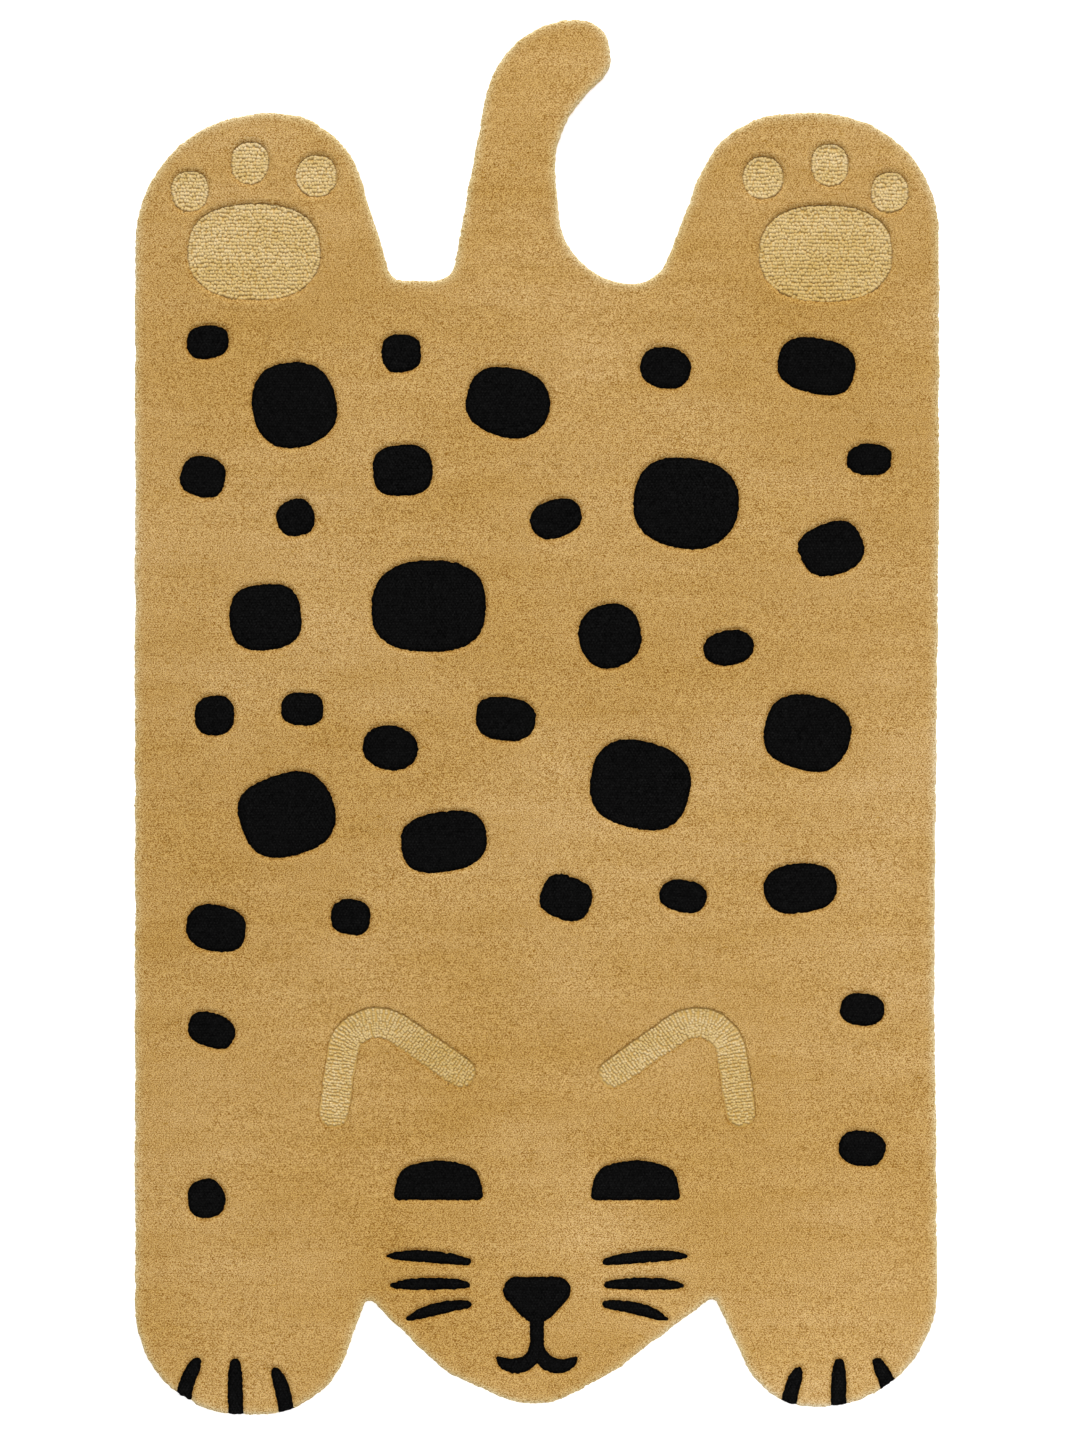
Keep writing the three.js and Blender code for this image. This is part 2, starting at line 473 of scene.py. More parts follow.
def rounded_polygon(corners, steps=8):
    """A closed outline from rows of x, y and the corner's radius, in millimetres."""
    table = np.array(corners) * MM
    places = table[:, :2]
    arcs = [
        corner_arc(place, places[index - 1], places[(index + 1) % len(places)], table[index, 2], steps)
        for index, place in enumerate(places)
    ]
    return np.concatenate(arcs)


def mirrored(polygons):
    return polygons + [polygon[::-1] * (-1, 1) for polygon in polygons]


# The black motifs: spots, a sleepy cat's face and the toes of the front feet

def brush_stroke(line, half_widths, cap_steps=6):
    """The outline of a stroke along a line of points, as wide as given at each, with round ends."""
    ahead = np.gradient(line, axis=0)
    ahead /= np.linalg.norm(ahead, axis=1)[:, None]
    side = leftward(ahead)
    right = line - side * half_widths[:, None]
    left = line + side * half_widths[:, None]
    turn = np.linspace(0, math.pi, cap_steps + 1)[1:-1, None]
    end_cap = line[-1] + half_widths[-1] * (np.sin(turn) * ahead[-1] - np.cos(turn) * side[-1])
    start_cap = line[0] + half_widths[0] * (np.cos(turn) * side[0] - np.sin(turn) * ahead[0])
    return np.concatenate([right, end_cap, left[::-1], start_cap])


def bowed_line(start, end, bow, steps=10):
    """Points between two places in millimetres, bowed to the left by a share of the length."""
    start, end = np.array(start) * MM, np.array(end) * MM
    share = np.linspace(0, 1, steps + 1)[:, None]
    along = end - start
    return start + share * along + 4 * bow * share * (1 - share) * leftward(along)


def tapered(count, widest, start_share, end_share):
    """Half widths in millimetres that swell to the widest in the middle of a stroke."""
    share = np.linspace(0, 1, count)
    ends = start_share + (end_share - start_share) * share
    return widest * MM * (ends + (1 - ends) * np.sin(math.pi * share) ** STROKE_FULLNESS)


def tapered_stroke(start, end, bow, widest, start_share, end_share):
    line = bowed_line(start, end, bow)
    return brush_stroke(line, tapered(len(line), widest, start_share, end_share))


def spot_outline(centre, radius, draws):
    """A squared-up ellipse whose edge wavers a little, as if drawn by hand."""
    angles = np.linspace(0, FULL_TURN, SPOT_POINTS, endpoint=False)
    stretch = math.exp(draws.uniform(*SPOT_STRETCH))
    power = 2 / draws.uniform(*SPOT_SQUARENESS)
    across = np.sign(np.cos(angles)) * np.abs(np.cos(angles)) ** power * radius * stretch
    along = np.sign(np.sin(angles)) * np.abs(np.sin(angles)) ** power * radius / stretch
    waver = np.ones_like(angles)
    for harmonic in SPOT_HARMONICS:
        depth = draws.uniform(0, SPOT_WAVER / harmonic)
        waver += depth * np.cos(harmonic * angles + draws.uniform(0, FULL_TURN))
    shape = np.stack([across * waver, along * waver], 1)
    return centre + turned(shape, draws.uniform(-SPOT_TURN, SPOT_TURN))


def spot_outlines(outline):
    """Spots from the largest to the smallest. Each takes the roomiest of some places chosen by chance."""
    draws = np.random.default_rng(SPOT_SEED)
    size_share = np.linspace(1, 0, SPOT_COUNT) ** SPOT_POWER
    radii = SPOT_SMALLEST + (SPOT_LARGEST - SPOT_SMALLEST) * size_share
    places = draws.uniform(*SPOT_AREA, (SPOT_TRIES, 2))
    edge, _ = spaced_along(outline, SPOT_SMALLEST, closed=True)
    to_edge = np.min([np.hypot(*(places - step).T) for step in edge], axis=0)
    to_edge[edge_distance(places, outline)[0] < 0] = 0
    head_low, head_high = np.array(HEAD_AREA)
    past_head = np.maximum(np.maximum(head_low - places, places - head_high), 0)
    room = np.minimum(to_edge, np.hypot(*past_head.T) + SPOT_GAP / 2)
    spots = []
    for radius in radii:
        choices = draws.choice(np.flatnonzero(room > radius + SPOT_GAP), SPOT_CHOICES)
        best = choices[np.argmax(room[choices])]
        spots.append(spot_outline(places[best], radius, draws))
        room = np.minimum(room, np.hypot(*(places - places[best]).T) - radius)
    return spots


def face_outlines():
    """Closed lids, a nose, a stem, a mouth of two lobes and three whiskers a side."""
    lid = rounded_polygon(LID_CORNERS)
    nose = rounded_polygon(NOSE_CORNERS)
    stem = tapered_stroke(*STEM_LINE, 0, STEM_HALF_WIDTH, 1, 1)
    lobe_turn = np.radians(np.linspace(*LOBE_ANGLES, LOBE_POINTS))
    lobe_arc = LOBE_RADIUS * np.stack([np.cos(lobe_turn), np.sin(lobe_turn)], 1)
    lobe_widths = tapered(LOBE_POINTS, LOBE_HALF_WIDTH, *LOBE_ENDS)
    lobe = brush_stroke(MM * (np.array(LOBE_MIDDLE) + lobe_arc), lobe_widths)
    whiskers = [tapered_stroke(*whisker, WHISKER_HALF_WIDTH, *WHISKER_ENDS) for whisker in WHISKERS]
    return [nose, stem] + mirrored([lid, lobe, *whiskers])


def toe_outlines():
    """Three short strokes on each front foot, which run off its edge."""
    return mirrored([tapered_stroke(*stroke, TOE_HALF_WIDTH, *TOE_ENDS) for stroke in TOE_STROKES])


# The surface of the cut pile

class Surface:
    """Triangles between points, with the points' named values and, in cut pile, their places on a plan."""

    def __init__(self, points, triangles, plan, values):
        self.points = points
        self.triangles = triangles
        self.plan = plan
        self.values = values

    def part(self, chosen):
        """The same surface with only the chosen triangles and their points."""
        used, local = np.unique(self.triangles[chosen], return_inverse=True)
        values = {name: value[used] for name, value in self.values.items()}
        return Surface(self.points[used], local.reshape(-1, 3), self.plan[used], values)


def pile_lattice(low, high):
    """A triangular lattice over a box: its points, which of them are tuft tips, and its triangles."""
    column_step = PILE_SPACING * math.sqrt(3) / 2
    spare = 4
    columns = int((high[0] - low[0]) / column_step) + spare
    rows = int((high[1] - low[1]) / PILE_SPACING) + spare
    column, row = np.meshgrid(np.arange(columns), np.arange(rows), indexing="ij")
    x = low[0] + (column - 1) * column_step
    y = low[1] + (row - 1 + 0.5 * (column % 2)) * PILE_SPACING
    is_tip = (column - (row - column // 2)) % 3 == 0
    index = column * rows + row
    here, up = index[:-1, :-1], index[:-1, 1:]
    right, right_up = index[1:, :-1], index[1:, 1:]
    is_even = (column[:-1, :-1] % 2 == 0)[..., None]
    lower = np.where(is_even, np.stack([here, right, up], -1), np.stack([here, right, right_up], -1))
    upper = np.where(is_even, np.stack([right, right_up, up], -1), np.stack([here, right_up, up], -1))
    triangles = np.concatenate([lower.reshape(-1, 3), upper.reshape(-1, 3)])
    return np.stack([x.ravel(), y.ravel()], 1), is_tip.ravel(), triangles


def lies_inside(points, triangles, distance, polygons):
    """Whether each triangle is inside the polygons. Near an edge its middle is tested."""
    inside = (distance[triangles] > 0).all(1)
    near = (np.abs(distance[triangles]) < 2 * PILE_SPACING).any(1)
    inside[near] = union_distance(points[triangles[near]].mean(1), polygons)[0] > 0
    return inside


def cut_pile(outline, paw_areas, ear_areas, motif_groups):
    """The cut pile with its sides, and the number of the motif group that each triangle is in, or -1."""
    points, is_tip, triangles = pile_lattice(outline.min(0), outline.max(0))
    group_edges = [union_distance(points, shapes) for shapes in motif_groups]
    paw_edge = union_distance(points, paw_areas)
    ear_edge = union_distance(points, ear_areas)
    rug_edge = union_distance(points, [outline])
    free = np.ones(len(points), bool)
    for distance, foot in [*group_edges, paw_edge, ear_edge, rug_edge]:
        on_edge = np.abs(distance) < PILE_SPACING / 2
        points[on_edge] = foot[on_edge]
        free &= ~on_edge
    jitter = rng.uniform(-PILE_JITTER, PILE_JITTER, points.shape) * PILE_SPACING
    points[free] += jitter[free]

    triangles = triangles[lies_inside(points, triangles, rug_edge[0], [outline])]
    triangles = triangles[~lies_inside(points, triangles, paw_edge[0], paw_areas)]
    triangles = triangles[~lies_inside(points, triangles, ear_edge[0], ear_areas)]
    group = np.full(len(triangles), -1)
    for number, shapes in enumerate(motif_groups):
        group[lies_inside(points, triangles, group_edges[number][0], shapes)] = number

    to_motif = np.min([np.abs(distance) for distance, _ in group_edges], axis=0)
    bevels = [
        (to_motif, CARVE_DEPTH, CARVE_WIDTH, CARVE_WIDTH, CARVE_SHADING),
        (np.abs(paw_edge[0]), PAW_CARVE_DEPTH, PAW_CARVE_WIDTH, PAW_SHADE_WIDTH, PAW_SHADING),
        (np.abs(ear_edge[0]), EAR_CARVE_DEPTH, EAR_CARVE_WIDTH, EAR_CARVE_WIDTH, EAR_SHADING),
    ]
    openness, height = pile_height(points, is_tip & free, free, rug_edge[0], bevels)
    # The share of painted sheen that pales the pile towards the rug's edge
    rim = np.exp(-np.abs(rug_edge[0]) / RIM_FADE)
    values = {"openness": openness, "tone": rng.uniform(0, 1, len(points)), "rim": rim}
    pile = Surface(np.column_stack([points, height]), triangles, points, values)
    return with_sides(pile, group, np.abs(rug_edge[0]) < PILE_SPACING / 2)


def pile_height(points, is_tip, free, to_edge, bevels):
    """How open each point of the pile lies, from 0 in a parting to 1 on a tip, and its height.

    The openness sets the painted shade. A bevel is each point's distance from it, its depth and width, and
    the width and strength of its painted shade.
    """
    count = len(points)
    parting = np.clip(1 - np.abs(value_noise(points, PARTING_SCALES, 3)) / PARTING_WIDTH, 0, 1)
    parting = np.maximum(parting, rng.uniform(0, 1, count) < SPECK_SHARE)
    stretches = value_noise(points, PARTING_STRETCHES, 4) * PARTING_CONTRAST + PARTING_AMOUNT
    parting *= smooth_step(stretches) * PARTING_DEPTH
    hollow = TUFT_DEPTH * (1 + rng.uniform(-1, 1, count) * TUFT_DEPTH_SPREAD) + parting
    tip = rng.uniform(0, 1, count) * TIP_SPREAD + PARTING_ON_TIPS * parting
    sink = np.where(is_tip, tip, hollow)
    sink[~free] = TUFT_DEPTH / 2
    uneven = value_noise(points, UNEVEN_SCALES, 5)
    uneven = uneven + UNEVEN_FINE_SHARE * value_noise(points, UNEVEN_FINE_SCALES, 6)
    edge_share = np.clip(to_edge / EDGE_ROUND, EDGE_SHARE_LEAST, 1)
    edge_drop = EDGE_ROUND * (1 - np.sqrt(1 - (1 - edge_share) ** 2))
    height = RUG_TOP - sink + UNEVEN_HEIGHT * (uneven - UNEVEN_SINK) - edge_drop
    # The deeper a point sinks, the darker the painted shade on it
    openness = 1 - sink / (TUFT_DEPTH + PARTING_DEPTH)
    for distance, depth, width, shade_width, shading in bevels:
        height -= depth * (1 - smooth_step(distance / width))
        # Painted shade darkens each bevel towards its bottom
        openness -= shading * (1 - smooth_step(distance / shade_width))
    return np.clip(openness, 0, 1), height


def with_sides(pile, group, on_outline):
    """Hangs the sides of the pile from its border, down to the backing or to a low area's cloth."""
    edges, owner = border_edges(pile.triangles)
    used, local = np.unique(edges, return_inverse=True)
    left, right = local.reshape(-1, 2).T
    away = -leftward(pile.plan[edges[:, 1]] - pile.plan[edges[:, 0]])
    outward = np.zeros((len(used), 2))
    np.add.at(outward, left, away)
    np.add.at(outward, right, away)
    outward /= np.maximum(np.linalg.norm(outward, axis=1), LEAST_LENGTH)[:, None]
    top = pile.points[used, 2]
    drop = top - np.where(on_outline[used], PILE_FOOT, SIDE_FOOT)
    waver = rng.uniform(0, 1, len(used))

    points, plans, openness = [pile.points], [pile.plan], [pile.values["openness"]]
    # Each level keeps a share of the openness, so a painted shade darkens the side towards its foot
    levels = [(share, WALL_BULGE * waver * (1 - share), light) for share, light in WALL_LEVELS]
    levels.append((1.0, np.full(len(used), -WALL_TURN_IN), 0.0))
    for number, (share, shift, light) in enumerate(levels):
        points.append(np.column_stack([pile.plan[used] + outward * shift[:, None], top - drop * share]))
        plans.append(pile.plan[used] + outward * (drop * share + number * WALL_MAP_STEP)[:, None])
        openness.append(pile.values["openness"][used] * light)

    start = len(pile.points)
    rows = [used] + [start + level * len(used) + np.arange(len(used)) for level in range(len(levels))]
    triangles, groups = [pile.triangles], [group]
    for upper, lower in zip(rows, rows[1:]):
        triangles.append(np.stack([upper[left], lower[left], upper[right]], 1))
        triangles.append(np.stack([upper[right], lower[left], lower[right]], 1))
        groups += [group[owner], group[owner]]
    values = {
        name: np.concatenate([value] + [value[used]] * len(levels)) for name, value in pile.values.items()
    }
    values["openness"] = np.concatenate(openness)
    # The painted rim sheen fades down the side
    values["rim"] = np.concatenate([pile.values["rim"]] + [
        pile.values["rim"][used] * (1 - share) for share, _, _ in levels
    ])
    pile = Surface(np.concatenate(points), np.concatenate(triangles), np.concatenate(plans), values)
    return pile, np.concatenate(groups)


def map_from_above(surface, folds=1):
    """A map seen from above. A long piece is cut across into lengths that lie side by side."""
    corners = surface.plan[surface.triangles]
    share = (corners - surface.plan.min(0)) / np.ptp(surface.plan, axis=0)
    fold = np.clip((share[:, :, 1].mean(1) * folds).astype(int), 0, folds - 1)[:, None]
    across = MAP_MARGIN + (1 - 2 * MAP_MARGIN) * share[:, :, 0]
    along = MAP_MARGIN + (1 - 2 * MAP_MARGIN) * (share[:, :, 1] * folds - fold)
    return np.stack([(fold + across) / folds, along], -1)


# Loop pile, loose fibres and the back

def tubes(centres, across, outward, sides):
    """Open tubes and their map. The arrays hold each ring's centre and its two half axes, tube by tube."""
    count, rings = centres.shape[:2]
    turn = np.linspace(0, FULL_TURN, sides, endpoint=False)[:, None] + math.pi / 2
    points = centres[:, :, None] + across[:, :, None] * np.cos(turn) + outward[:, :, None] * np.sin(turn)
    ring, side = np.meshgrid(np.arange(rings - 1), np.arange(sides), indexing="ij")
    steps = ((0, 0), (0, 1), (1, 0), (1, 0), (0, 1), (1, 1))
    ring = np.stack([ring + step for step, _ in steps], -1).ravel()
    side = np.stack([side + step for _, step in steps], -1).ravel()
    triangles = np.arange(count)[:, None] * rings * sides + ring * sides + side % sides
    columns = math.ceil(math.sqrt(count))
    cell_row, cell_column = np.divmod(np.arange(count)[:, None], columns)
    inner = 1 - 2 * CELL_MARGIN
    u = (cell_column + CELL_MARGIN + inner * side / sides) / columns
    v = (cell_row + CELL_MARGIN + inner * ring / (rings - 1)) / columns
    return points.reshape(-1, 3), triangles.reshape(-1, 3), np.stack([u, v], -1).reshape(-1, 3, 2)


def upward_faces(edge):
    """Triangles that fill a flat outline and face up."""
    faces = np.array(tessellate_polygon([[Vector((x, y, 0)) for x, y in edge]]))
    corners = edge[faces]
    first, second = corners[:, 1] - corners[:, 0], corners[:, 2] - corners[:, 0]
    is_down = first[:, 0] * second[:, 1] < first[:, 1] * second[:, 0]
    faces[is_down] = faces[is_down][:, ::-1]
    return faces


def pad_rows(polygon):
    """Loops of a pad or toe: a row round its edge and straight rows across it."""
    edge_places, edge_directions = spaced_along(polygon, LOOP_PITCH, EDGE_ROW_INSET, closed=True)
    low, high = polygon.min(0), polygon.max(0)
    x, y = np.meshgrid(np.arange(low[0], high[0], LOOP_PITCH), np.arange(low[1], high[1], ROW_PITCH))
    x = x + rng.uniform(0, LOOP_PITCH, (len(x), 1))
    places = np.stack([x.ravel(), y.ravel()], 1)
    places = places[edge_distance(places, polygon)[0] > INNER_ROW_INSET]
    directions = np.tile((1.0, 0.0), (len(places), 1))
    return np.concatenate([edge_places, places]), np.concatenate([edge_directions, directions])


def ear_rows(polygon):
    """Loops of an ear: rows that run across its bent band."""
    side = np.sign(polygon[:, 0].mean())
    outer, bend, inner = np.array(EAR_CORNERS) * MM * (side, 1)
    half_width = EAR_HALF_WIDTH * MM
    outer_end = outer + half_width * (outer - bend) / np.linalg.norm(outer - bend)
    inner_end = inner + half_width * (inner - bend) / np.linalg.norm(inner - bend)
    arc = corner_arc(bend, outer, inner, EAR_BEND_ROUND * MM, EAR_BEND_STEPS)
    line = np.concatenate([[outer_end], arc, [inner_end]])
    rows = list(zip(*spaced_along(line, EAR_ROW_PITCH)))
    reach = np.linspace(-half_width, half_width, EAR_ROW_TRIALS)
    trials = np.concatenate([place + reach[:, None] * leftward(along) for place, along in rows])
    inside = edge_distance(trials, polygon)[0] > EAR_ROW_INSET
    places, directions = [], []
    for (place, along), fits in zip(rows, inside.reshape(len(rows), -1)):
        if fits.any():
            low, high = reach[fits][[0, -1]]
            steps = np.linspace(low, high, round((high - low) / LOOP_PITCH) + 1)
            places.append(place + steps[:, None] * leftward(along))
            directions.append(np.tile(leftward(along), (len(steps), 1)))
    return np.concatenate(places), np.concatenate(directions)


def yarn_loops(rows, yarn_half_width, loop_floor):
    """Arches of yarn along rows, given as places and directions, with their map and their tone."""
    places = np.concatenate([places for places, _ in rows])
    directions = np.concatenate([directions for _, directions in rows])
    count = len(places)
    waver = ROW_WAVER * value_noise(places, ROW_WAVER_SCALES, 8)
    places = places + leftward(directions) * waver[:, None] + rng.normal(0, LOOP_WANDER, places.shape)
    directions = turned(directions, rng.normal(0, LOOP_TURN, count))
    size = rng.uniform(1 - LOOP_SIZE_SPREAD, 1 + LOOP_SIZE_SPREAD, (count, 1, 1))
    rise = np.linspace(0, math.pi, LOOP_RINGS)[:, None]
    up = np.array((0, 0, 1.0))
    along, across = flat(directions), flat(leftward(directions))
    length = LOOP_LENGTH / 2 - YARN_HALF_THICKNESS
    height = (LOOP_RISE - YARN_HALF_THICKNESS) * (0.5 + 0.5 * size)
    centres = flat(places, loop_floor) - np.cos(rise) * length * along + np.sin(rise) * height * up
    outward = YARN_HALF_THICKNESS * (np.sin(rise) * up - np.cos(rise) * along)
    half_widths = np.broadcast_to(yarn_half_width * size * across, centres.shape)
    tone = np.repeat(rng.uniform(0, 1, count), LOOP_RINGS * LOOP_SIDES)
    return *tubes(centres, half_widths, outward, LOOP_SIDES), tone


def loop_pile(rows, low_areas, yarn_half_width, loop_top):
    """Yarn loops on the cloth that shows between them, and the map of both."""
    loop_floor = loop_top - LOOP_RISE
    points, triangles, uv, tone = yarn_loops(rows, yarn_half_width, loop_floor)
    cloth_points, cloth_triangles = [], []
    start = len(points)
    for polygon in low_areas:
        edge, _ = spaced_along(polygon, 2 * LOOP_PITCH, -LOOP_CLOTH_MARGIN, closed=True)
        cloth_points.append(edge)
        cloth_triangles.append(upward_faces(edge) + start)
        start += len(edge)
    cloth_points, cloth_triangles = np.concatenate(cloth_points), np.concatenate(cloth_triangles)
    place = (cloth_points - cloth_points.min(0)) / np.ptp(cloth_points, axis=0)
    room = 1 - 2 * MAP_EDGE
    cloth_uv = MAP_EDGE + place * (room, room - LOOPS_ON_MAP) + (0, LOOPS_ON_MAP)
    uv = np.concatenate([uv * (1, LOOPS_ON_MAP), cloth_uv[cloth_triangles - len(points)]])
    points = np.concatenate([points, flat(cloth_points, loop_floor)[:, 0]])
    triangles = np.concatenate([triangles, cloth_triangles])
    # The openness sets the painted shade of the loop wool: darker low on the loops, darkest on the cloth
    # between
    openness = np.clip((points[:, 2] - loop_floor) / LOOP_RISE, 0, 1)
    tone = np.concatenate([tone, np.full(len(cloth_points), CLOTH_TONE)])
    return Surface(points, triangles, None, {"openness": openness, "tone": tone}), uv


def rim_fibres(outline):
    """Loose fibres that stick out of the pile's side, and their map."""
    pitch = outline_length(outline) / RIM_FIBRES
    places, directions = spaced_along(outline, pitch, FIBRE_INSET, closed=True)
    count = len(places)
    headings = turned(directions, rng.normal(-math.pi / 2, FIBRE_FAN, count))
    ahead, sideways = flat(headings, rng.normal(0, FIBRE_TILT, count)), flat(leftward(headings))
    share = np.linspace(0, 1, FIBRE_RINGS)[:, None]
    length = rng.uniform(*FIBRE_LENGTHS, (count, 1, 1))
    curl = rng.normal(0, FIBRE_CURL, (count, 1, 1))
    base = flat(places, rng.uniform(*FIBRE_HEIGHTS, count))
    centres = base + length * (share * ahead + curl * share ** 2 * sideways)
    centres[..., 2] = np.clip(centres[..., 2], 2 * FIBRE_RADIUS, RUG_TOP - 2 * FIBRE_RADIUS)
    radius = FIBRE_RADIUS * (1 - FIBRE_TAPER * share)
    upward = np.broadcast_to(radius * (0, 0, 1.0), centres.shape)
    points, triangles, uv = tubes(centres, radius * sideways, upward, FIBRE_SIDES)
    tone = np.repeat(rng.uniform(0, 1, count), FIBRE_RINGS * FIBRE_SIDES)
    openness = np.full(len(points), FIBRE_OPENNESS)
    # The loose fibres take the painted rim sheen in full
    values = {"openness": openness, "tone": tone, "rim": np.ones(len(points))}
    return Surface(points, triangles, None, values), uv


def canvas_back(outline):
    """A closed sheet under the whole rug, and its map, which gives most room to the underside."""
    edge, _ = spaced_along(outline, CANVAS_STEP, CANVAS_INSET, closed=True)
    count = len(edge)
    top = upward_faces(edge)
    underside = top[:, ::-1]
    here = np.arange(count)
    after = (here + 1) % count
    rim = np.concatenate([
        np.stack([here, after, here + count], 1),
        np.stack([after, after + count, here + count], 1),
    ])
    points = np.concatenate([flat(edge)[:, 0], flat(edge, CANVAS_THICKNESS)[:, 0]])
    place = (edge - edge.min(0)) / np.ptp(edge, axis=0)
    rim_place = np.stack([rim // count, rim % count / count], -1)
    on_map = ((place[underside], UNDERSIDE_ON_MAP), (place[top], TOP_ON_MAP), (rim_place, RIM_ON_MAP))
    uv = np.concatenate([corner + share * size for share, (corner, size) in on_map])
    triangles = np.concatenate([underside, top + count, rim])
    return Surface(points, triangles, None, {}), uv


def make_piece(name, surface, uv, material, slot_name):
    """A mesh object that stands for a part of the solid rug."""
    mesh = bpy.data.meshes.new(name)
    count = len(surface.triangles)
    mesh.vertices.add(len(surface.points))
    mesh.vertices.foreach_set("co", surface.points.astype(np.float32).ravel())
    mesh.loops.add(3 * count)
    mesh.loops.foreach_set("vertex_index", surface.triangles.astype(np.int32).ravel())
    mesh.polygons.add(count)
    mesh.polygons.foreach_set("loop_start", np.arange(0, 3 * count, 3, dtype=np.int32))
    mesh.update(calc_edges=True)
    mesh.shade_smooth()
    layer = mesh.uv_layers.new(name="OFBake")
    layer.uv.foreach_set("vector", uv.astype(np.float32).ravel())
    for key, values in surface.values.items():
        attribute = mesh.attributes.new(key, "FLOAT", "POINT")
        attribute.data.foreach_set("value", values.astype(np.float32))
    mesh.materials.append(material)
    piece = bpy.data.objects.new(name, mesh)
    bpy.context.scene.collection.objects.link(piece)
    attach(piece, "root")
    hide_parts(RUG)
    return piece


# Materials

class Material:
    """A material with short calls that add linked nodes to it."""

    def __init__(self, name, roughness, sheen, tint=(1, 1, 1)):
        self.material = bpy.data.materials.new(name)
        self.material.use_nodes = True
        self.tree = self.material.node_tree
        self.shader = self.tree.nodes["Principled BSDF"]
        self.shader.inputs["Roughness"].default_value = roughness
        self.shader.inputs["Specular IOR Level"].default_value = SPECULAR_LEVEL
        self.shader.inputs["Sheen Weight"].default_value = sheen
        self.shader.inputs["Sheen Roughness"].default_value = SHEEN_ROUGHNESS
        self.place = self.add("ShaderNodeTexCoord").outputs["Object"]
        self.tint = tint

    def add(self, kind, **settings):
        node = self.tree.nodes.new(kind)
        for key, value in settings.items():
            setattr(node, key, value)
        return node

    def attribute(self, name):
        return self.add("ShaderNodeAttribute", attribute_name=name).outputs["Fac"]

    def noise(self, scale, detail, stretch=(1, 1, 1)):
        mapping = self.add("ShaderNodeMapping")
        mapping.inputs["Scale"].default_value = stretch
        noise = self.add("ShaderNodeTexNoise")
        noise.inputs["Scale"].default_value = scale
        noise.inputs["Detail"].default_value = detail
        self.tree.links.new(self.place, mapping.inputs["Vector"])
        self.tree.links.new(mapping.outputs["Vector"], noise.inputs["Vector"])
        return noise.outputs["Fac"]

    def ramp(self, value, *stops):
        """Colours at places from 0 to 1."""
        ramp = self.add("ShaderNodeValToRGB")
        elements = ramp.color_ramp.elements
        while len(elements) < len(stops):
            elements.new(0.5)
        for element, (place, colour) in zip(elements, stops):
            element.position = place
            element.color = (*colour, 1)
        self.tree.links.new(value, ramp.inputs["Fac"])
        return ramp.outputs["Color"]

    def shade(self, value, darkest, low=0.3, high=0.7):
        """Shades from the darkest to white, to multiply a colour by. The tint warms the dark ones."""
        return self.ramp(value, (low, [darkest ** power for power in self.tint]), (high, (1, 1, 1)))

    def multiply(self, first, *others):
        for other in others:
            mix = self.add("ShaderNodeMix", data_type="RGBA", blend_type="MULTIPLY")
            mix.inputs["Factor"].default_value = 1
            inputs = [socket for socket in mix.inputs if socket.type == "RGBA"]
            self.tree.links.new(first, inputs[0])
            self.tree.links.new(other, inputs[1])
            first = next(socket for socket in mix.outputs if socket.type == "RGBA")
        return first

    def blend(self, factor, first, colour):
        """A linked colour that turns into a plain one as the factor nears 1."""
        mix = self.add("ShaderNodeMix", data_type="RGBA")
        inputs = [socket for socket in mix.inputs if socket.type == "RGBA"]
        self.tree.links.new(factor, mix.inputs["Factor"])
        self.tree.links.new(first, inputs[0])
        inputs[1].default_value = (*colour, 1)
        return next(socket for socket in mix.outputs if socket.type == "RGBA")

    def finish(self, colour, height, strength, distance):
        """Links the colour, and a bump made from a height."""
        bump = self.add("ShaderNodeBump")
        bump.inputs["Strength"].default_value = strength
        bump.inputs["Distance"].default_value = distance
        self.tree.links.new(height, bump.inputs["Height"])
        self.tree.links.new(bump.outputs["Normal"], self.shader.inputs["Normal"])
        self.tree.links.new(colour, self.shader.inputs["Base Color"])
        return self.material


def wool(name, hollow_shade, middle, tip, tone_depth, fibre_depth, sheen=CLOTH_SHEEN, tint=WARM_SHADE, rim_sheen=None):
    """Wool pile with painted shade between its tufts and in short partings along its rows, with fibres,
    and streaks and patches of painted shading from the pile's lay.

    Its colour goes from a painted hollow shade through the middle one to that of a tip, and a painted sheen
    pales it at the rim.
    """
    pile = Material(name, WOOL_ROUGHNESS, sheen, tint)
    # Painted shade: the colour darkens from a tip down to a hollow
    colour = pile.ramp(pile.attribute("openness"), (0.0, hollow_shade), (MIDDLE_OPENNESS, middle), (1.0, tip))
    # A painted sheen pales the wool near the rim
    if rim_sheen:
        colour = pile.blend(pile.attribute("rim"), colour, rim_sheen)
    tufts = pile.shade(pile.attribute("tone"), 1 - tone_depth, 0, 1)
    fibres = pile.shade(pile.noise(*FIBRE_NOISE), 1 - fibre_depth, *FIBRE_RANGE)
    # Painted shade in short partings along the rows
    partings = pile.shade(pile.noise(*PARTING_NOISE), 1 - PARTING_SHARE * fibre_depth, *PARTING_RANGE)
    # Streaks and patches are painted shading of the pile's lay
    streaks = pile.shade(pile.noise(*STREAK_NOISE), STREAK_DARKEST)
    patches = pile.shade(pile.noise(*PATCH_NOISE), PATCH_DARKEST)
    colour = pile.multiply(colour, tufts, fibres, partings, streaks, patches)
    return pile.finish(colour, pile.noise(*BUMP_NOISE), *WOOL_BUMP)


def canvas_cloth():
    """Plain woven cotton canvas: two crossing sets of uneven threads."""
    cloth = Material("backing_canvas", CANVAS_ROUGHNESS, CLOTH_SHEEN)
    base = cloth.ramp(cloth.noise(*CANVAS_NOISE), (0.3, CANVAS_DARK), (0.7, CANVAS_LIGHT))
    weft = cloth.shade(cloth.noise(*WEFT_NOISE), THREAD_DARKEST)
    warp = cloth.shade(cloth.noise(*WARP_NOISE), THREAD_DARKEST)
    colour = cloth.multiply(base, weft, warp)
    return cloth.finish(colour, colour, *CANVAS_BUMP)
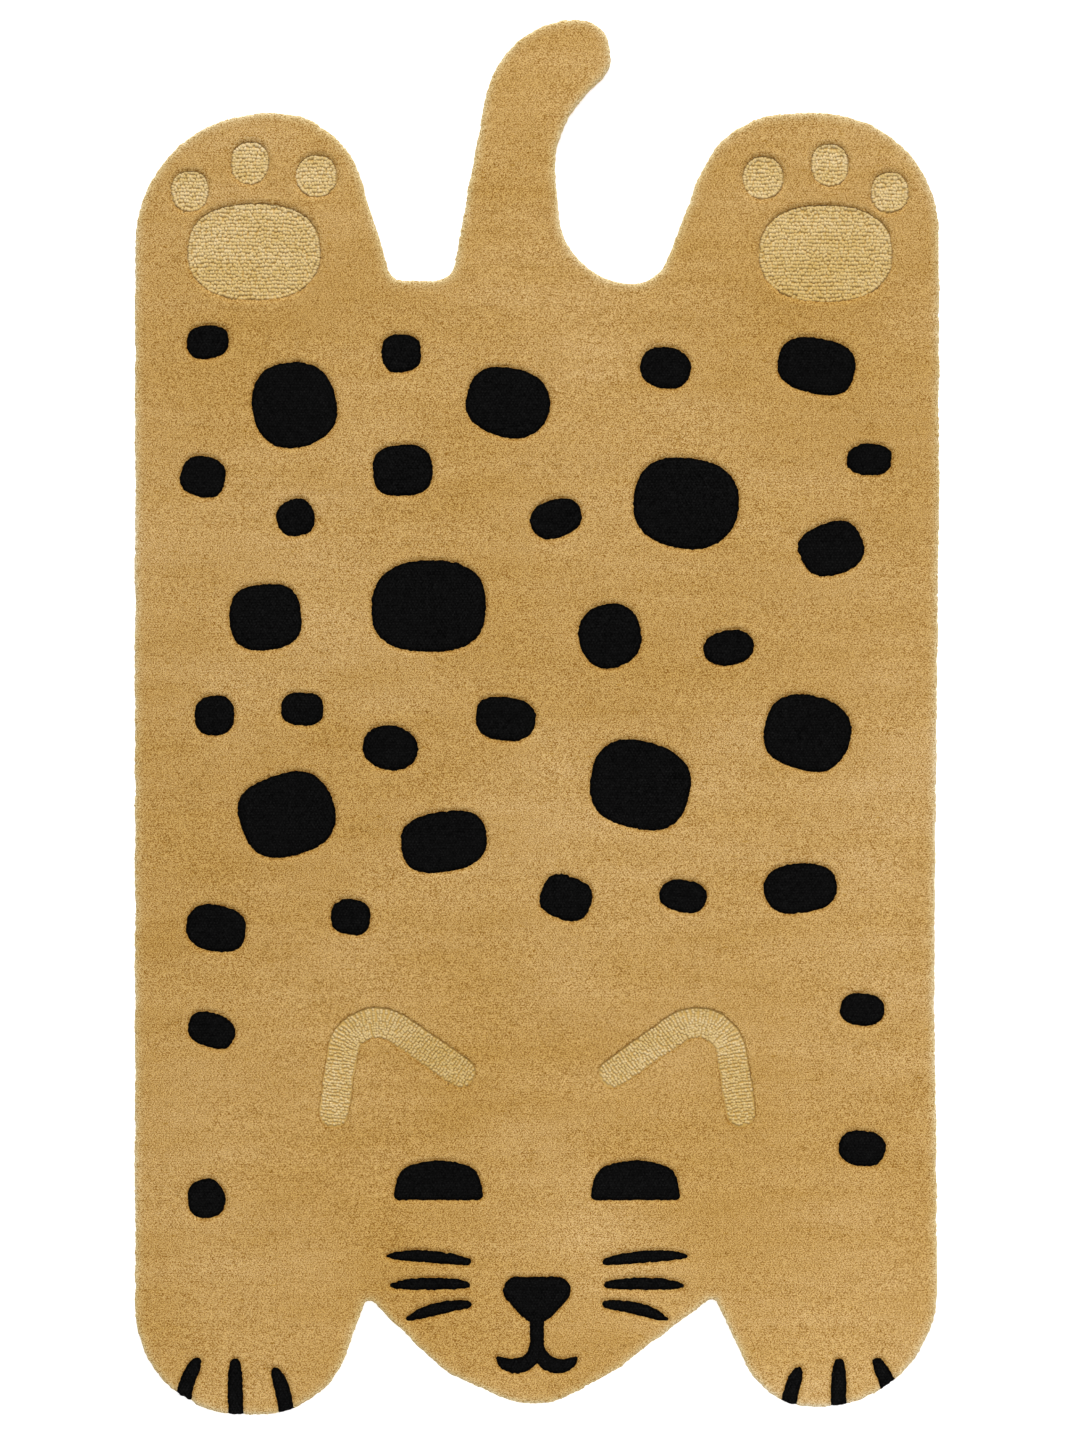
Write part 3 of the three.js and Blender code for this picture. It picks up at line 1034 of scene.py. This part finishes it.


# Each wool's first colour is the painted shade of its hollows
TAN_WOOL = wool(
    "tan_wool", hollow_shade=(0.41, 0.226, 0.041), middle=(0.633, 0.427, 0.17), tip=(0.726, 0.524, 0.291),
    # The tan wool's rim colour is a painted sheen
    tone_depth=0.04, fibre_depth=0.6, rim_sheen=(0.89, 0.83, 0.65),
)
BLACK_WOOL = wool(
    "black_wool", hollow_shade=(0.001,) * 3, middle=(0.0055,) * 3, tip=(0.0148,) * 3,
    tone_depth=0.6, fibre_depth=0.9, sheen=0.001, tint=(1, 1, 1),
)
LOOP_WOOL = wool(
    "loop_wool", hollow_shade=(0.65, 0.47, 0.21), middle=(0.717, 0.565, 0.347), tip=(0.733, 0.607, 0.404),
    tone_depth=0.12, fibre_depth=0.1,
)
CANVAS = canvas_cloth()

# Outlines from the solid: the rug's own is at the floor, and the low areas' are in its top face
rug_outline = flat_face_outlines(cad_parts[RUG], 0)[0]
low_areas = flat_face_outlines(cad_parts[RUG], RUG_TOP)[1:]

# Cut pile
motif_groups = [
    [ragged(motif) for motif in motifs]
    for motifs in (spot_outlines(rug_outline), face_outlines(), toe_outlines())
]
pile_outline = ragged(rug_outline, waver=EDGE_WAVER)
low_edges = [ragged(area, LOW_INSET, EDGE_WAVER) for area in low_areas]
ear_areas = [area for area in low_edges if area[:, 1].mean() < 0]
paw_areas = [area for area in low_edges if area[:, 1].mean() > 0]
pile, pile_group = cut_pile(pile_outline, paw_areas, ear_areas, motif_groups)
pile_x = pile.plan[pile.triangles].mean(1)[:, 0]
strip_ends = np.quantile(pile_x[pile_group == -1], np.arange(1, len(TAN_STRIPS)) / len(TAN_STRIPS))
strip = np.digitize(pile_x, strip_ends)
for number, name in enumerate(TAN_STRIPS):
    surface = pile.part((pile_group == -1) & (strip == number))
    make_piece(name, surface, map_from_above(surface, MAP_FOLDS), TAN_WOOL, "tan_wool")
for number, name in enumerate(BLACK_PIECES):
    surface = pile.part(pile_group == number)
    make_piece(name, surface, map_from_above(surface), BLACK_WOOL, "black_wool")

# Loop pile, rim and back
paw_rows = [pad_rows(area) for area in low_areas if area[:, 1].mean() > 0]
paw_loops = loop_pile(paw_rows, paw_areas, PAW_YARN_HALF_WIDTH, PAW_LOOP_TOP)
band_rows = [ear_rows(area) for area in ear_areas]
ear_loops = loop_pile(band_rows, ear_areas, EAR_YARN_HALF_WIDTH, EAR_LOOP_TOP)
make_piece("paw_print_loops", *paw_loops, LOOP_WOOL, "loop_wool")
make_piece("ear_loops", *ear_loops, LOOP_WOOL, "loop_wool")
make_piece("rim_fibres", *rim_fibres(pile_outline), TAN_WOOL, "tan_wool")
back = make_piece("canvas_back", *canvas_back(pile_outline), CANVAS, "backing_canvas")

# Floor and light: an even white studio with its main light from the tail's end
FLOOR_SIZE = 120
FLOOR_DROP = 0.2 * MM
FLOOR_GLOW = 0.6
FLOOR_ROUGHNESS = 0.9
FLOOR_COLOUR = (0.95, 0.95, 0.95, 1)
WHITE = (1, 1, 1, 1)
SKY_LIGHT = 0.49
SUN_LIGHT = 2.7
SUN_WIDTH = math.radians(20)
SUN_ELEVATION = math.radians(40)

bpy.ops.mesh.primitive_plane_add(size=FLOOR_SIZE, location=(0, 0, -FLOOR_DROP))
floor = bpy.context.object
floor.name = "floor"
floor_white = Material("floor_white", FLOOR_ROUGHNESS, 0)
floor_white.shader.inputs["Base Color"].default_value = FLOOR_COLOUR
floor_white.shader.inputs["Emission Color"].default_value = WHITE
floor_white.shader.inputs["Emission Strength"].default_value = FLOOR_GLOW
floor.data.materials.append(floor_white.material)

world = bpy.data.worlds.new("studio")
world.use_nodes = True
sky = world.node_tree.nodes["Background"]
sky.inputs["Color"].default_value = WHITE
sky.inputs["Strength"].default_value = SKY_LIGHT
bpy.context.scene.world = world

sun = bpy.data.lights.new("soft_sun", "SUN")
sun.energy = SUN_LIGHT
sun.angle = SUN_WIDTH
sun_object = bpy.data.objects.new("soft_sun", sun)
sun_object.rotation_euler = (SUN_ELEVATION - math.pi / 2, 0, 0)
bpy.context.scene.collection.objects.link(sun_object)

# Soft lamps past the right side, the chin and the tail: their power in watts and their places
FILL_SIZE = 1
FILLS = (
    ("side_fill", 3.5, (1.7, -0.2, 0.9)),
    ("chin_fill", 6.5, (0.3, -1.75, 0.9)),
    ("tail_fill", 4.5, (0, 1.5, 0.9)),
)
for name, power, place in FILLS:
    fill = bpy.data.lights.new(name, "AREA")
    fill.energy = power
    fill.size = FILL_SIZE
    fill_object = bpy.data.objects.new(name, fill)
    fill_object.location = place
    fill_object.rotation_euler = (-fill_object.location).to_track_quat("-Z", "Y").to_euler()
    bpy.context.scene.collection.objects.link(fill_object)

# Camera: straight above. The frame's height and middle are those at the rug's top.
CAMERA_DISTANCE = 4.2
FRAME_HEIGHT = 1.7539
FRAME_MIDDLE = (3.65 * MM, -3.65 * MM)
SENSOR_SIZE = 36
camera = bpy.data.cameras.new("camera")
camera.sensor_width = SENSOR_SIZE
camera.lens = SENSOR_SIZE * CAMERA_DISTANCE / FRAME_HEIGHT
camera_object = bpy.data.objects.new("camera", camera)
camera_object.location = (*FRAME_MIDDLE, RUG_TOP + CAMERA_DISTANCE)
bpy.context.scene.collection.objects.link(camera_object)
bpy.context.scene.camera = camera_object
bpy.context.scene.view_settings.view_transform = "Standard"
